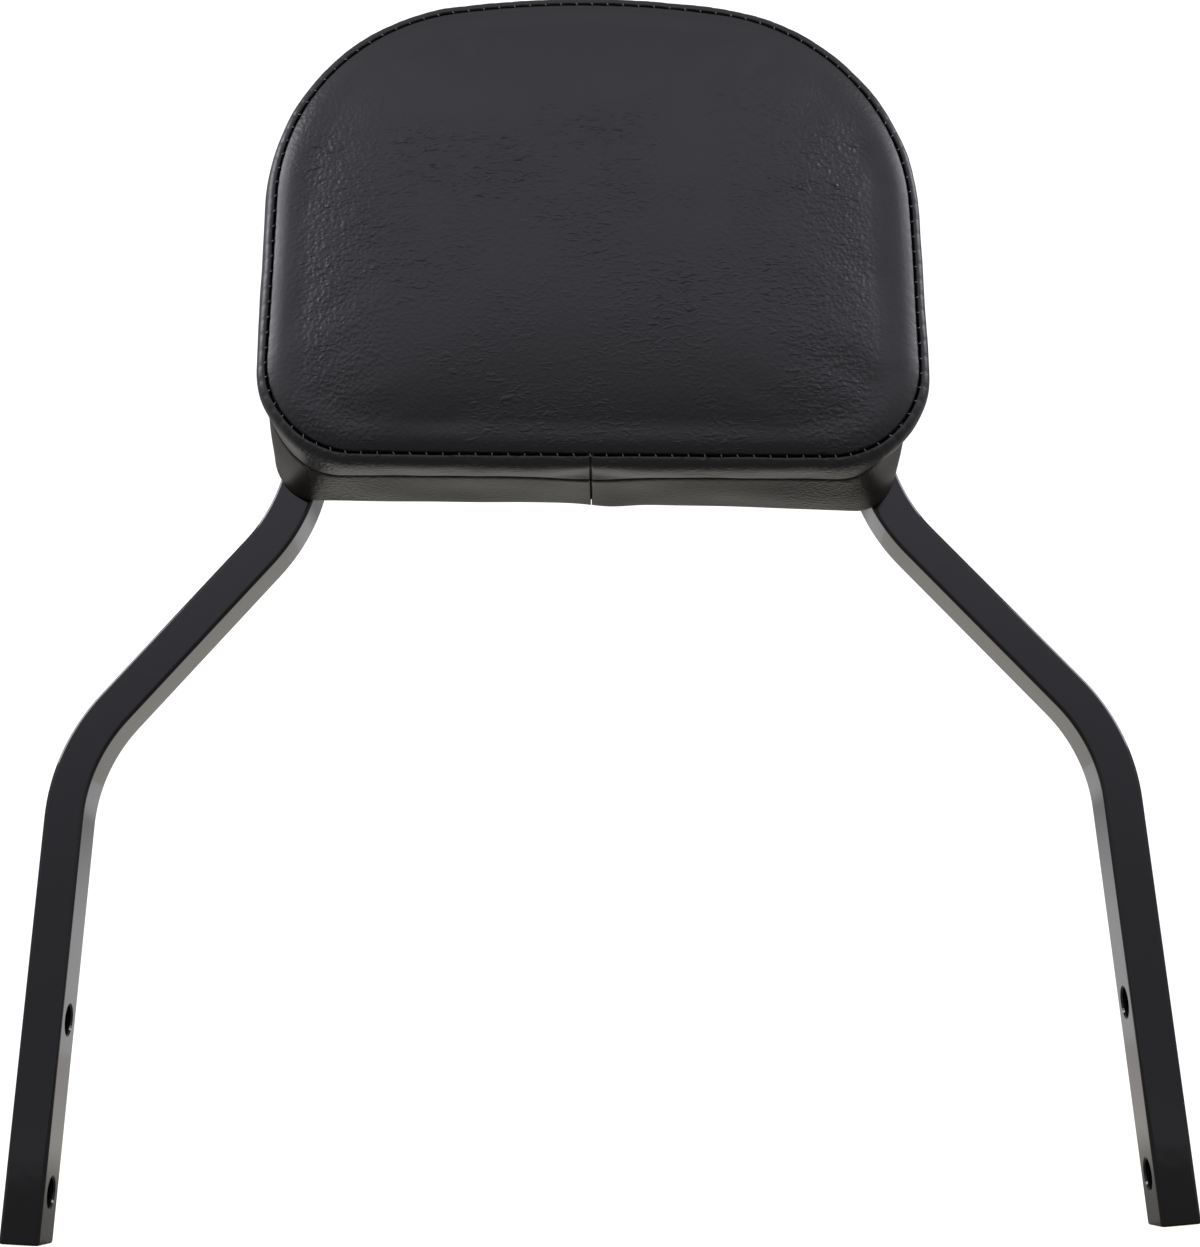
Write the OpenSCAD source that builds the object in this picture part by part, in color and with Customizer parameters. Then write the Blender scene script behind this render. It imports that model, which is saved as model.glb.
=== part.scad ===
// Sissy bar: a passenger backrest for a motorcycle.
// One rectangular steel bar is bent into a hoop with two splayed legs.
// A stitched, crowned pad is bolted to a plate welded between its uprights.
//
// Frame, in millimetres: +Z is up, +X is to the right seen from the padded side,
// and the pad faces -Y. Z = 0 is the lowest point of the leg ends, X = 0 is the
// middle, and Y = 0 is halfway between the pad's front and the bar's rear face.

/* [Bar] */
// Width of the bar, across its front face
bar_w = 12.7; // [10:0.1:16]
// Depth of the bar, front to rear
bar_d = 19.05; // [15:0.05:26]
// Rounding of the bar's four long edges
bar_edge_r = 1.2; // [0.4:0.1:2.5]
// Chamfer round the cut end of each leg
foot_chamfer = 0.9; // [0.2:0.1:2]
// Radius of every bend, to the bar's centre line
bend_r = 60; // [40:1:75]
// Distance between the two legs at their ends, centre to centre
foot_spread = 362.4; // [340:0.2:400]
// Outward lean of each leg
leg_splay = 4; // [0:0.5:8]
// Height of the knee, where the lines of the leg and the slant cross
knee_h = 154.7; // [140:0.1:170]
// Rise of each slant, from the knee to the shoulder, where its line meets the upright's
slant_rise = 84.3; // [70:0.1:100]
// Distance between the two uprights, centre to centre
hoop_w = 188.4; // [170:0.2:192]
// Straight length of each upright, between its two bends
upright_run = 49.9; // [46:0.1:60]

/* [Mounting holes] */
// Distance from the leg's end to its lower hole
hole_end = 16; // [13:0.5:24]
// Distance between the two holes of a leg
hole_pitch = 54; // [38:0.5:66]
// Bore of each hole, the tap drill of a 3/8 inch coarse thread
tap_d = 7.94; // [6:0.01:9]
// Diameter of the countersunk rim of each hole
rim_d = 11.4; // [9.2:0.1:13]

/* [Pad plate] */
// Height of the welded plate
plate_h = 42; // [34:1:44]
// Thickness of the welded plate
plate_t = 4.8; // [3:0.1:6]
// Leg length of the weld fillets
weld_leg = 3.5; // [2:0.1:5]

/* [Fixings] */
// Spacing of the pad bolts across
bolt_dx = 110; // [80:1:130]
// Spacing of the pad bolts up and down
bolt_dz = 22; // [18:0.5:24]
// Diameter of a pad bolt
bolt_d = 6.35; // [5:0.05:6.5]
// Radial clearance of a bolt in the plate
plate_clear = 0.4; // [0.2:0.05:0.6]
// Width across the flats of a bolt head
head_af = 11.1; // [9:0.1:12]
// Height of a bolt head
head_h = 4.1; // [3:0.1:5]
// Outer diameter of a split lock washer
lock_od = 12.3; // [10:0.1:13]
// Thickness of a split lock washer
lock_t = 1.6; // [1:0.1:2]
// Outer diameter of a flat washer
flat_od = 16; // [14:0.1:17]
// Thickness of a flat washer
flat_t = 1.3; // [0.8:0.1:2]
// Diameter of a tee nut's flange
nut_flange_d = 19; // [16:0.5:20]
// Thickness of a tee nut's flange
nut_flange_t = 1.4; // [1:0.1:2]
// Outer diameter of a tee nut's barrel
nut_barrel_d = 8; // [7.6:0.1:9]
// Length of a tee nut's prongs
prong_len = 5; // [3:0.1:6]

/* [Pad outline] */
// Width of the pad between the corners of its base, before they are rounded
pad_base_w = 213.8; // [208:0.1:225]
// Inward lean of the pad's two sides
side_lean = 1.9; // [0:0.05:4]
// Height of the pad, from its bottom edge to the top of its arch
pad_h = 158.1; // [152:0.1:168]
// Radius of the broad arch at the top
arch_r = 296; // [240:1:340]
// Radius of the shoulders
shoulder_r = 70.6; // [60:0.2:80]
// Radius of the bottom corners at the front seam
base_front_r = 31.8; // [24:0.2:36]
// Radius of the bottom corners at the rear edge
base_rear_r = 15; // [10:0.5:20]
// Distance from the plate's middle down to the pad's bottom
pad_drop = 51; // [46:0.5:56]

/* [Pad layers] */
// Depth of the boxing strip, from the bar to the strip's seam
boxing_depth = 32; // [24:0.5:40]
// Depth of the rolled edge band, between the two seams
band_depth = 18.5; // [14:0.5:24]
// Outward swell of the edge band
band_swell = 1.1; // [0.4:0.1:2.5]
// How far the front seam lies inside the pad's outline
seam_inset = 2.2; // [1.6:0.1:3.5]
// How far the padded front stands out from its seam
crown = 11; // [6:0.5:16]
// Thickness of the vinyl cover
vinyl_t = 1.1; // [0.8:0.1:1.6]
// Width of the cover's hem, turned in behind the base board
hem_w = 24; // [16:0.5:28]
// Thickness of the base board
board_t = 9; // [8:0.5:12]
// Thickness of foam between the board's edge and the cover
foam_wrap = 4; // [2:0.1:6]
// Clearance between two layers of the pad
layer_gap = 0.15; // [0.1:0.05:0.3]
// Gap between the two ends of a strip at the bottom seam
seam_gap = 0.4; // [0.2:0.1:1]

/* [Hidden] */

$fn = 48;
// How far a drill or a saw runs past the faces that it cuts, and a countersink past its rim
overrun = 1;
eps = 0.01;
// Segments in each rounded corner of the pad's outline
corner_steps = 8;
// Segments in each rounded edge of the bar, and degrees of bend between two stations
edge_steps = 3;
bend_step = 5;

// Colours of the finishes
gloss_black = [0.10, 0.10, 0.11];
black_vinyl = [0.22, 0.22, 0.23];
dark_cloth = [0.16, 0.16, 0.17];
birch_ply = [0.76, 0.62, 0.42];
foam_grey = [0.55, 0.56, 0.58];
zinc_plate = [0.72, 0.72, 0.70];
black_zinc = [0.18, 0.18, 0.19];

// The pad's whole depth, and the shift that puts the middle of the depth at Y = 0
pad_depth = boxing_depth + band_depth + crown;
frame_y = (pad_depth - bar_d) / 2;

// Corners of the bar's centre line, from the left leg's end over the top to the right
foot_x = foot_spread / 2;
foot_z = (bar_w / 2 - foot_chamfer) * sin(leg_splay);
knee_x = foot_x - (knee_h - foot_z) * tan(leg_splay);
upright_x = hoop_w / 2;
shoulder_h = knee_h + slant_rise;
slant_lean = atan2(knee_x - upright_x, slant_rise);
upright_foot = shoulder_h + bend_r * tan(slant_lean / 2);
hoop_top_h = upright_foot + upright_run + bend_r;
right_side = [[upright_x, shoulder_h], [knee_x, knee_h], [foot_x, foot_z]];
left_side = [for (i = [len(right_side) - 1:-1:0]) [-right_side[i][0], right_side[i][1]]];
hoop_path = concat(
    left_side,
    [[-upright_x, hoop_top_h], [upright_x, hoop_top_h]],
    right_side
);

// Inner face of the uprights, and the middle of their straight length, where the plate
// is welded
upright_inner_x = upright_x - bar_w / 2;
plate_z = upright_foot + upright_run / 2;
pad_z = plate_z - pad_drop;

// Heights of the stack behind the plate, measured rearward from the bar's front face
flat_washer_y = plate_t;
lock_washer_y = flat_washer_y + flat_t;
head_y = lock_washer_y + lock_t;
// The board lies in front of the hem and the back cloth, and the tee nuts on its front
board_rear = -vinyl_t - layer_gap;
board_front = board_rear - board_t;
bolt_tip = board_front - nut_flange_t;
bolt_run_clear = 0.05;
nut_bore_d = bolt_d + 2 * bolt_run_clear;
bolt_hole_d = bolt_d + 2 * plate_clear;
nut_fit = 0.1;
bolt_seats = [
    [-bolt_dx / 2, plate_z + bolt_dz / 2],
    [bolt_dx / 2, plate_z + bolt_dz / 2],
    [-bolt_dx / 2, plate_z - bolt_dz / 2],
    [bolt_dx / 2, plate_z - bolt_dz / 2]
];

// Depths of the two seams, forward of the bar
boxing_seam_y = -boxing_depth;
front_seam_y = -boxing_depth - band_depth;

// Plane geometry

function unit(v) = v / norm(v);
function heading(v) = atan2(v[1], v[0]);

// Turn at b on the way from a to c, positive to the left
function turn_at(a, b, c) =
    let (d = heading(c - b) - heading(b - a))
    d > 180 ? d - 360 : d < -180 ? d + 360 : d;

// Centre of the arc of radius r that rounds the corner b
function arc_centre(a, b, c, r) =
    let (u = unit(a - b), v = unit(c - b))
    b + unit(u + v) * r / cos(turn_at(a, b, c) / 2);

// The pad's outline

// Centre of the arch, and of the right shoulder, which touches the arch from inside and
// the side that starts at the base's right corner
arch_centre = [0, pad_z + pad_h - arch_r];
shoulder_centre =
    let (
        up_side = [-sin(side_lean), cos(side_lean)],
        inward = [-cos(side_lean), -sin(side_lean)],
        w = [pad_base_w / 2, pad_z] + shoulder_r * inward - arch_centre,
        reach = arch_r - shoulder_r,
        along = sqrt(pow(w * up_side, 2) - w * w + reach * reach) - w * up_side
    )
    arch_centre + w + along * up_side;
// Half of the angle that the arch spans, to where it runs into the shoulders
arch_half = atan2(shoulder_centre[0], shoulder_centre[1] - arch_centre[1]);
pad_middle = [0, pad_z + pad_h / 2];

// Centre of the right corner of the base, which touches the bottom and the side
function base_centre(r) =
    [pad_base_w / 2 - r * (1 + sin(side_lean)) / cos(side_lean), pad_z + r];

function mirrored(p) = [-p[0], p[1]];

// Points of an arc about m from the angle t to the angle u, its ends as given in steps
function arc(m, r, t, u, first = 0, last = corner_steps) =
    [for (k = [first:last])
        let (a = t + (u - t) * k / corner_steps)
        m + r * [cos(a), sin(a)]
    ];

// One ring of the outline, counter-clockwise seen from the front, moved in by inset,
// with base_r at the bottom corners. Arcs that touch share one point.
function pad_ring(inset, base_r) =
    let (
        arch_end = 90 + arch_half,
        side = 180 - side_lean,
        base = base_centre(base_r),
        shoulder = shoulder_r - inset,
        corner = base_r - inset
    )
    concat(
        arc(arch_centre, arch_r - inset, 180 - arch_end, arch_end),
        arc(mirrored(shoulder_centre), shoulder, arch_end, side, first = 1),
        arc(mirrored(base), corner, side, 270),
        arc(base, corner, 270, 540 - side),
        arc(shoulder_centre, shoulder, 540 - side, 540 - arch_end, last = corner_steps - 1)
    );

// The same ring drawn together towards the pad's middle, for the crowned front
function drawn_ring(inset, base_r, share) =
    [for (p = pad_ring(inset, base_r)) pad_middle + (1 - share) * (p - pad_middle)];

// Radius of the bottom corners at a depth y, larger towards the front
function base_r_at(y) =
    let (s = min(1, max(0, y / front_seam_y)))
    base_rear_r + (base_front_r - base_rear_r) * s;

function ring_at(inset, y) = [for (p = pad_ring(inset, base_r_at(y))) [p[0], y, p[1]]];

// A ring opened at the middle of its bottom edge, where a strip's two ends meet
seam_first = 3 * (corner_steps + 1) - 1;
function opened(ring) =
    let (n = len(ring), z = ring[seam_first][2], y = ring[0][1])
    concat(
        [[seam_gap / 2, y, z]],
        [for (i = [0:n - 1]) ring[(seam_first + i) % n]],
        [[-seam_gap / 2, y, z]]
    );

// Depths from a to b in n equal steps
function steps_between(a, b, n) = [for (k = [0:n]) a + (b - a) * k / n];

// Rounding of the cover's rear edge, and how far it tucks in there
rear_edge_r = vinyl_t + 0.4;
rear_tuck = 0.9;
// How far the boxing's seam is pulled in, and the width of boxing that it draws with it
seam_dip = 0.9;
seam_run = 4;
// Below 1 this brings the fullest part of the band nearer the boxing
swell_bias = 0.85;

// Inset of the cover's outside at a depth y on the boxing and on the band
function boxing_inset(y) =
    let (rear = max(0, y + rear_edge_r), front = max(0, boxing_seam_y + seam_run - y))
    rear_tuck * pow(rear / rear_edge_r, 2) + seam_dip * pow(front / seam_run, 2);
function band_inset(y) =
    let (
        s = (boxing_seam_y - y) / band_depth,
        swell = band_swell + (seam_dip + seam_inset) / 2
    )
    seam_dip * (1 - s) + seam_inset * s - swell * sin(180 * pow(s, swell_bias));

// Rings of the crowned front: how they crowd at its seam, how flat its middle is, and
// how steeply it leaves the seam
crown_steps = 9;
crown_crowd = 1.7;
crown_flat = 3;
crown_steep = 0.62;
function crown_share(k) = pow(k / crown_steps, crown_crowd);
function crown_rise(t) = crown * pow(1 - pow(1 - t, crown_flat), crown_steep);

// Solids made of rings

// Two triangles for each cell between the rings j and j + 1, where a ring has n points
function wall(j, n, next) = [for (i = [0:n - 1])
    let (k = (i + 1) % n, a = j * n + i, b = j * n + k, c = next * n + k, d = next * n + i)
    each [[a, c, b], [a, d, c]]
];

// Skin an open strip that runs along the outline, from as many lines of points outside
// as inside: each line joins the next, the last joins the first, and flat ends close it
module strip(lines) {
    n = len(lines[0]);
    m = len(lines);
    sides = [for (j = [0:m - 1]) for (i = [0:n - 2])
        let (k = (j + 1) % m, a = j * n + i, b = a + 1, c = k * n + i + 1, d = k * n + i)
        each [[a, c, b], [a, d, c]]
    ];
    ends = [for (j = [0:m / 2 - 2])
        let (a = j * n, b = a + n, c = (m - 2 - j) * n, d = c + n, far = n - 1)
        each [
            [a, c, b], [a, d, c],
            [a + far, b + far, c + far], [a + far, c + far, d + far]
        ]
    ];
    polyhedron(points = [for (l = lines) each l], faces = concat(sides, ends));
}

// Skin a lump: a flat face on the first ring, a point in the middle of the last
module lump(rings, tip) {
    n = len(rings[0]);
    m = len(rings);
    polyhedron(
        points = concat([for (r = rings) each r], [tip]),
        faces = concat(
            [[for (i = [0:n - 1]) i]],
            [for (j = [0:m - 2]) each wall(j, n, j + 1)],
            [for (i = [0:n - 1]) [(m - 1) * n + (i + 1) % n, (m - 1) * n + i, m * n]]
        )
    );
}

// Skin a bowl: rings run out from the tip inside, over the rim and up to the tip outside
module bowl(rings, tip_in, tip_out) {
    n = len(rings[0]);
    m = len(rings);
    polyhedron(
        points = concat([for (r = rings) each r], [tip_in, tip_out]),
        faces = concat(
            [for (i = [0:n - 1]) [i, (i + 1) % n, m * n]],
            [for (j = [0:m - 2]) each wall(j, n, j + 1)],
            [for (i = [0:n - 1]) [(m - 1) * n + (i + 1) % n, (m - 1) * n + i, m * n + 1]]
        )
    );
}

// Rings of the crowned front, moved in by a skin thickness and back by as much
panel_inset = seam_inset + vinyl_t + layer_gap;
// Width of the seam allowance that turns back inside the band, and the foam's room for it
seam_allowance = 3.5;
seam_room = 0.5;
skirt_y = front_seam_y + seam_allowance;
function crown_ring(k, skin) =
    let (
        t = crown_share(k),
        y = front_seam_y - crown_rise(t) + skin
    )
    [for (p = drawn_ring(panel_inset + skin, base_front_r, t)) [p[0], y, p[1]]];
function crown_rings(skin) = [for (k = [0:crown_steps - 1]) crown_ring(k, skin)];
function crown_tip(skin) = [pad_middle[0], front_seam_y - crown + skin, pad_middle[1]];

// Place a piece in the object's frame: y = 0 below is the bar's front face
module in_frame() {
    translate([0, frame_y, 0]) children();
}

// Bar

// Section of the bar, centred, with rounded corners: across first, then front to rear
bar_section = [for (q = [0:3]) for (k = [0:edge_steps])
    let (
        t = 90 * (q + k / edge_steps),
        x = (bar_w / 2 - bar_edge_r) * (q == 0 || q == 3 ? 1 : -1),
        y = (bar_d / 2 - bar_edge_r) * (q < 2 ? 1 : -1)
    )
    [x, y] + bar_edge_r * [cos(t), sin(t)]
];

// Stations of the bend at the corner b: points of the centre line, each with its heading
function bend_stations(a, b, c) =
    let (
        t = turn_at(a, b, c),
        m = arc_centre(a, b, c, bend_r),
        first = heading(b - a),
        steps = max(2, ceil(abs(t) / bend_step)),
        side = t > 0 ? -90 : 90
    )
    [for (k = [0:steps])
        let (h = first + t * k / steps)
        [m + bend_r * [cos(h + side), sin(h + side)], h]
    ];

// The bar's section set across the centre line at one station
function bar_ring(station) =
    let (h = station[1], across = [sin(h), -cos(h)])
    [for (s = bar_section)
        let (p = station[0] + s[0] * across)
        [p[0], bar_d / 2 + s[1], p[1]]
    ];

// The bar swept along its centre line, straight between the bends
module bent_bar() {
    last = len(hoop_path) - 1;
    stations = concat(
        [[hoop_path[0], heading(hoop_path[1] - hoop_path[0])]],
        [for (i = [1:last - 1])
            each bend_stations(hoop_path[i - 1], hoop_path[i], hoop_path[i + 1])],
        [[hoop_path[last], heading(hoop_path[last] - hoop_path[last - 1])]]
    );
    n = len(bar_section);
    m = len(stations);
    polyhedron(
        points = [for (st = stations) each bar_ring(st)],
        faces = concat(
            [[for (i = [0:n - 1]) i]],
            [for (j = [0:m - 2]) each wall(j, n, j + 1)],
            [[for (i = [n - 1:-1:0]) (m - 1) * n + i]]
        )
    );
}

// A leg's frame: origin at its end, +Z up the leg, +X outward, side is -1 or 1
module leg_frame(side) {
    translate([side * foot_x, bar_d / 2, foot_z])
        mirror([side < 0 ? 1 : 0, 0, 0])
            rotate([0, -leg_splay, 0]) children();
}

// Tapped hole through the leg, countersunk on both faces
module mounting_hole() {
    sink = (rim_d - tap_d) / 2;
    rotate([0, 90, 0]) cylinder(d = tap_d, h = bar_w + 2 * overrun, center = true);
    for (s = [-1, 1])
        rotate([0, s * 90, 0])
            translate([0, 0, bar_w / 2 - sink])
                cylinder(d1 = tap_d, d2 = rim_d + 2 * eps, h = sink + eps);
}

// Chamfers round the leg's end
module foot_chamfers() {
    side = foot_chamfer * sqrt(2);
    for (s = [-1, 1]) {
        translate([s * bar_w / 2, 0, 0])
            rotate([0, 45, 0]) cube([side, bar_d + 2 * overrun, side], center = true);
        translate([0, s * bar_d / 2, 0])
            rotate([45, 0, 0]) cube([bar_w + 2 * overrun, side, side], center = true);
    }
}

module hoop_bar() {
    color(gloss_black) in_frame() difference() {
        bent_bar();
        for (side = [-1, 1]) leg_frame(side) {
            foot_chamfers();
            for (h = [hole_end, hole_end + hole_pitch])
                translate([0, 0, h]) mounting_hole();
        }
    }
}

// Plate and welds

// Run children at each bolt's axis, with +Z pointing to the rear
module at_bolt(i) {
    translate([bolt_seats[i][0], 0, bolt_seats[i][1]])
        rotate([-90, 0, 0]) children();
}

module pad_plate() {
    color(gloss_black) in_frame() difference() {
        translate([-upright_inner_x, 0, plate_z - plate_h / 2])
            cube([2 * upright_inner_x, plate_t, plate_h]);
        for (i = [0:3]) at_bolt(i)
            translate([0, 0, -overrun])
                cylinder(d = bolt_hole_d, h = plate_t + 2 * overrun);
    }
}

// Fillet weld in the corner between the plate's rear face and an upright
module plate_weld(side) {
    color(gloss_black) in_frame()
        translate([side * upright_inner_x, plate_t, plate_z - plate_h / 2])
            linear_extrude(height = plate_h)
                intersection() {
                    circle(r = weld_leg);
                    translate([side > 0 ? -weld_leg : 0, 0]) square(weld_leg);
                }
}
module plate_weld_left() { plate_weld(-1); }
module plate_weld_right() { plate_weld(1); }

// Pad

// Outline of the board, inside the foam that wraps its edge
board_inset = vinyl_t + layer_gap + foam_wrap;
// The foam's sides stand in from the cover by this much more, as it is cut undersize
foam_ease = 0.3;
// Room round a tee nut's flange in the foam
flange_room = 0.5;

// Plywood board with a bore and four prong slots for each tee nut
module base_board() {
    color(birch_ply) in_frame() difference() {
        translate([0, board_rear, 0]) rotate([90, 0, 0])
            linear_extrude(height = board_t) polygon(pad_ring(board_inset, base_rear_r));
        for (i = [0:3]) at_bolt(i) {
            translate([0, 0, board_front - overrun])
                cylinder(d = nut_barrel_d + 2 * nut_fit, h = board_t + 2 * overrun);
            translate([0, 0, board_front]) prongs(nut_fit);
        }
    }
}

// Moulded foam: crowned in front, rebated behind for the board and the tee nuts
module foam_core() {
    skin = vinyl_t + layer_gap;
    rebate = board_inset - layer_gap;
    floor_y = board_front - layer_gap;
    side_y = concat(
        steps_between(board_rear, boxing_seam_y + 2 * seam_room, 4),
        steps_between(boxing_seam_y - band_depth / 4, skirt_y + 2 * seam_room, 2)
    );
    rings = concat(
        [[for (p = pad_ring(rebate, base_rear_r)) [p[0], floor_y, p[1]]]],
        [[for (p = pad_ring(rebate, base_rear_r)) [p[0], board_rear, p[1]]]],
        [for (y = side_y)
            ring_at(skin + foam_ease + (y > boxing_seam_y ? boxing_inset(y) : band_inset(y)), y)],
        [[for (p = pad_ring(panel_inset + skin, base_front_r)) [p[0], skirt_y + seam_room, p[1]]]],
        crown_rings(skin)
    );
    color(foam_grey) in_frame() difference() {
        lump(rings, crown_tip(skin));
        for (i = [0:3]) at_bolt(i)
            translate([0, 0, bolt_tip - 2 * layer_gap])
                cylinder(d = nut_flange_d + 2 * flange_room, h = nut_flange_t + overrun);
    }
}

// Stitched vinyl front, with a short skirt that is sewn to the band
module front_panel() {
    inner = [for (p = pad_ring(panel_inset + vinyl_t, base_front_r)) [p[0], skirt_y, p[1]]];
    outer = [for (p = pad_ring(panel_inset, base_front_r)) [p[0], skirt_y, p[1]]];
    back = crown_rings(vinyl_t);
    rings = concat(
        [for (k = [len(back) - 1:-1:0]) back[k]],
        [inner, outer],
        crown_rings(0)
    );
    color(black_vinyl) in_frame() bowl(rings, crown_tip(vinyl_t), crown_tip(0));
}

// Rolled band between the two seams
module edge_band() {
    steps = 6;
    rear_y = boxing_seam_y - layer_gap / 2;
    depths = steps_between(rear_y, front_seam_y, steps);
    outside = [for (y = depths) ring_at(band_inset(y), y)];
    inside = [for (k = [steps:-1:0]) ring_at(band_inset(depths[k]) + vinyl_t, depths[k])];
    color(black_vinyl) in_frame() strip([for (r = concat(outside, inside)) opened(r)]);
}

// Share by which a ring is drawn together at a distance w inside the pad's edge
function drawn_share(w) = w / (pad_base_w / 2);
function drawn_hem(y) =
    [for (p = drawn_ring(0, base_rear_r, drawn_share(hem_w))) [p[0], y, p[1]]];

// Boxing strip round the pad's side, with its hem turned in behind the board
module boxing_strip() {
    depths = concat(
        [0],
        steps_between(-rear_edge_r, boxing_seam_y + seam_run, 3),
        [boxing_seam_y + seam_run / 2, boxing_seam_y + layer_gap / 2]
    );
    last = len(depths) - 1;
    hem_front = -vinyl_t;
    outside = concat(
        [drawn_hem(0)],
        [for (y = depths) ring_at(boxing_inset(y), y)]
    );
    inside = concat(
        [for (k = [last:-1:1]) ring_at(boxing_inset(depths[k]) + vinyl_t, depths[k])],
        [ring_at(boxing_inset(hem_front) + vinyl_t, hem_front), drawn_hem(hem_front)]
    );
    color(black_vinyl) in_frame() strip([for (r = concat(outside, inside)) opened(r)]);
}

// Cloth that closes the back of the pad inside the hem, pierced for the bolts
module back_cloth() {
    color(dark_cloth) in_frame() difference() {
        rotate([90, 0, 0]) linear_extrude(height = vinyl_t)
            polygon(drawn_ring(0, base_rear_r, drawn_share(hem_w + 2 * layer_gap)));
        for (i = [0:3]) at_bolt(i)
            translate([0, 0, -vinyl_t - overrun])
                cylinder(d = bolt_hole_d, h = vinyl_t + 2 * overrun);
    }
}

// Fixings, each drawn about its own axis with +Z to the rear

// Four prongs bent back from the flange, thicker by clear all round
module prongs(clear) {
    width = 2.4;
    thick = 1.2;
    reach = nut_flange_d / 2 - thick;
    long = prong_len + 2 * clear;
    short = prong_len * 0.6 + 2 * clear;
    for (a = [45:90:315]) rotate([0, 0, a])
        translate([reach - thick / 2 - clear, width / 2 + clear, 0])
            rotate([90, 0, 0]) linear_extrude(height = width + 2 * clear)
                polygon([
                    [0, -clear], [thick + 2 * clear, -clear],
                    [thick + 2 * clear, short], [0, long]
                ]);
}

module tee_nut(i) {
    short_of_board = 1;
    barrel_len = board_t - short_of_board;
    color(zinc_plate) in_frame() at_bolt(i) translate([0, 0, board_front]) {
        difference() {
            union() {
                translate([0, 0, -nut_flange_t]) cylinder(d = nut_flange_d, h = nut_flange_t);
                cylinder(d = nut_barrel_d, h = barrel_len);
                prongs(0);
            }
            translate([0, 0, -nut_flange_t - overrun])
                cylinder(d = nut_bore_d, h = barrel_len + nut_flange_t + 2 * overrun);
        }
    }
}
module tee_nut_1() { tee_nut(0); }
module tee_nut_2() { tee_nut(1); }
module tee_nut_3() { tee_nut(2); }
module tee_nut_4() { tee_nut(3); }

// Hexagon head with its corners turned off at 30 degrees, and a shank with a pointed tip
module pad_bolt(i) {
    corner_r = head_af / cos(30) / 2;
    crown_r = head_af / 2 - 0.4;
    tip = 0.8;
    color(black_zinc) in_frame() at_bolt(i) {
        translate([0, 0, head_y]) intersection() {
            cylinder(r = corner_r, h = head_h, $fn = 6);
            rotate_extrude() polygon([
                [0, 0], [corner_r, 0], [corner_r, head_h - (corner_r - crown_r) * tan(30)],
                [crown_r, head_h], [0, head_h]
            ]);
        }
        rotate_extrude() polygon([
            [0, bolt_tip], [bolt_d / 2 - tip, bolt_tip], [bolt_d / 2, bolt_tip + tip],
            [bolt_d / 2, head_y + head_h / 2], [0, head_y + head_h / 2]
        ]);
    }
}
module pad_bolt_1() { pad_bolt(0); }
module pad_bolt_2() { pad_bolt(1); }
module pad_bolt_3() { pad_bolt(2); }
module pad_bolt_4() { pad_bolt(3); }

// Split ring under the bolt head
module lock_washer(i) {
    split = 12;
    ring_clear = 0.15;
    inner_r = bolt_d / 2 + ring_clear;
    color(black_zinc) in_frame() at_bolt(i)
        translate([0, 0, lock_washer_y]) rotate([0, 0, 60])
            rotate_extrude(angle = 360 - split)
                translate([inner_r, 0]) square([lock_od / 2 - inner_r, lock_t]);
}
module lock_washer_1() { lock_washer(0); }
module lock_washer_2() { lock_washer(1); }
module lock_washer_3() { lock_washer(2); }
module lock_washer_4() { lock_washer(3); }

// Flat ring on the plate's rear face
module flat_washer(i) {
    color(black_zinc) in_frame() at_bolt(i)
        translate([0, 0, flat_washer_y]) difference() {
            cylinder(d = flat_od, h = flat_t);
            translate([0, 0, -overrun])
                cylinder(d = bolt_hole_d, h = flat_t + 2 * overrun);
        }
}
module flat_washer_1() { flat_washer(0); }
module flat_washer_2() { flat_washer(1); }
module flat_washer_3() { flat_washer(2); }
module flat_washer_4() { flat_washer(3); }

hoop_bar();
pad_plate();
plate_weld_left();
plate_weld_right();
base_board();
foam_core();
front_panel();
edge_band();
boxing_strip();
back_cloth();
tee_nut_1();
tee_nut_2();
tee_nut_3();
tee_nut_4();
pad_bolt_1();
pad_bolt_2();
pad_bolt_3();
pad_bolt_4();
lock_washer_1();
lock_washer_2();
lock_washer_3();
lock_washer_4();
flat_washer_1();
flat_washer_2();
flat_washer_3();
flat_washer_4();
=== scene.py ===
import math

import bmesh
import bpy
from mathutils import Matrix, Vector, noise
from mathutils.bvhtree import BVHTree


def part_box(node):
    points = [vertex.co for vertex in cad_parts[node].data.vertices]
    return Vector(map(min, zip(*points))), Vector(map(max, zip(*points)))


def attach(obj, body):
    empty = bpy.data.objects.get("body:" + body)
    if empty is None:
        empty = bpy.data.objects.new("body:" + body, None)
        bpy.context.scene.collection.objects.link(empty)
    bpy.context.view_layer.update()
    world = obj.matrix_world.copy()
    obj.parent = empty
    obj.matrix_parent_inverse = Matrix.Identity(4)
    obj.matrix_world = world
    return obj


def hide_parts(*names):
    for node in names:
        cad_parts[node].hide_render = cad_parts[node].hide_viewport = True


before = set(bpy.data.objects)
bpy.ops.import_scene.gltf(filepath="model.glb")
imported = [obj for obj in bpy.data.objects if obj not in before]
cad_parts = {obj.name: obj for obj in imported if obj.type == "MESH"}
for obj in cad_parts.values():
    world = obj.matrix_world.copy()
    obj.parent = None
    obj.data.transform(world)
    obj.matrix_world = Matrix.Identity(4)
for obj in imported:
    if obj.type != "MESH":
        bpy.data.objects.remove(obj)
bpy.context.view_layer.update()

# Bar hoop
# One length of half inch by three quarter inch steel bar, bent cold at six places into a
# hoop with two splayed legs, drilled and tapped for its fixing bolts, and powder coated
# gloss black.
MM = 0.001
bar_w, bar_d = 12.7 * MM, 19.05 * MM
bar_edge_r, tip_edge_r = 1.3 * MM, 0.8 * MM
bend_r, bend_steps = 60 * MM, 40
leg_splay = math.radians(4)
bar_low, bar_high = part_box("hoop_bar")
bar_front_y = bar_low.y
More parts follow.
